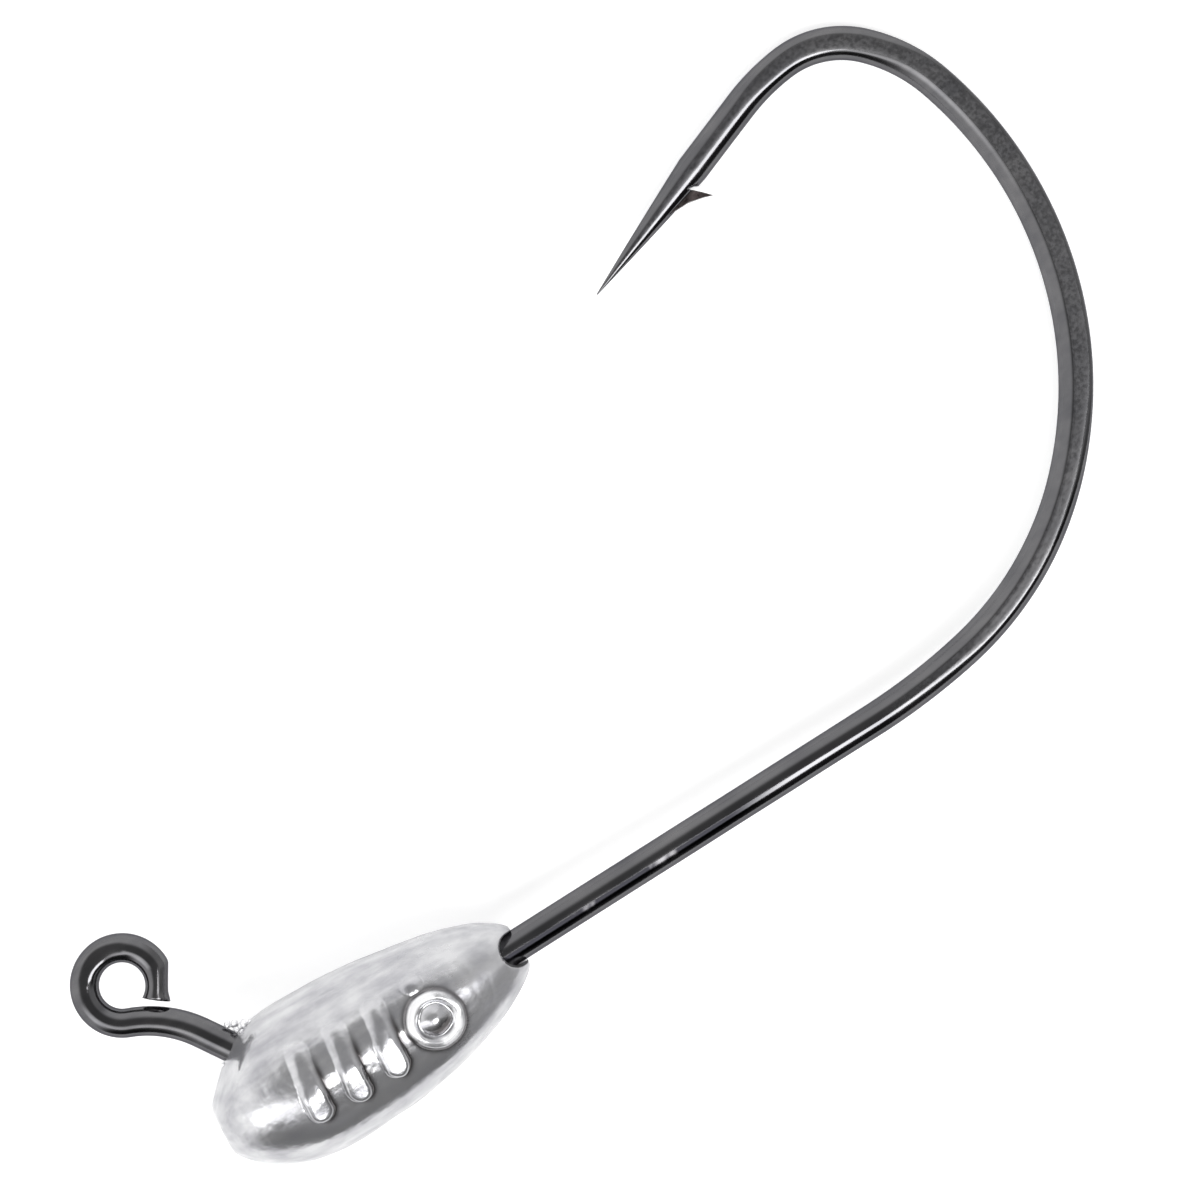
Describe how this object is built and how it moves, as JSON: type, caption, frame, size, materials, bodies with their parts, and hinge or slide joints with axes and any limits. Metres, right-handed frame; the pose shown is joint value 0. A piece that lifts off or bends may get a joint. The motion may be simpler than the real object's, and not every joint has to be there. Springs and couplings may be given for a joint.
{
  "type": "jig head",
  "caption": "Fishing jig head: a wide-gap barbed hook with a slim lead head cast round the knee below its line eye, to weight a soft bait threaded on the shank.",
  "frame": {"origin": "centre of the line eye, in the hook's plane", "axes": "+X along the shank from the eye to the bend, +Y in the hook's plane from the shank towards the point, +Z square to the hook's plane, on the side with the raised marks"},
  "size_m": [0.0419, 0.0234, 0.0049],
  "materials": {
    "hook_wire": "black nickel plate on forged steel wire",
    "lead": "bright lead as it left the mould"
  },
  "bodies": {
    "root": {"hook": "hook_wire", "cast_head": "lead"}
  },
  "joints": []
}
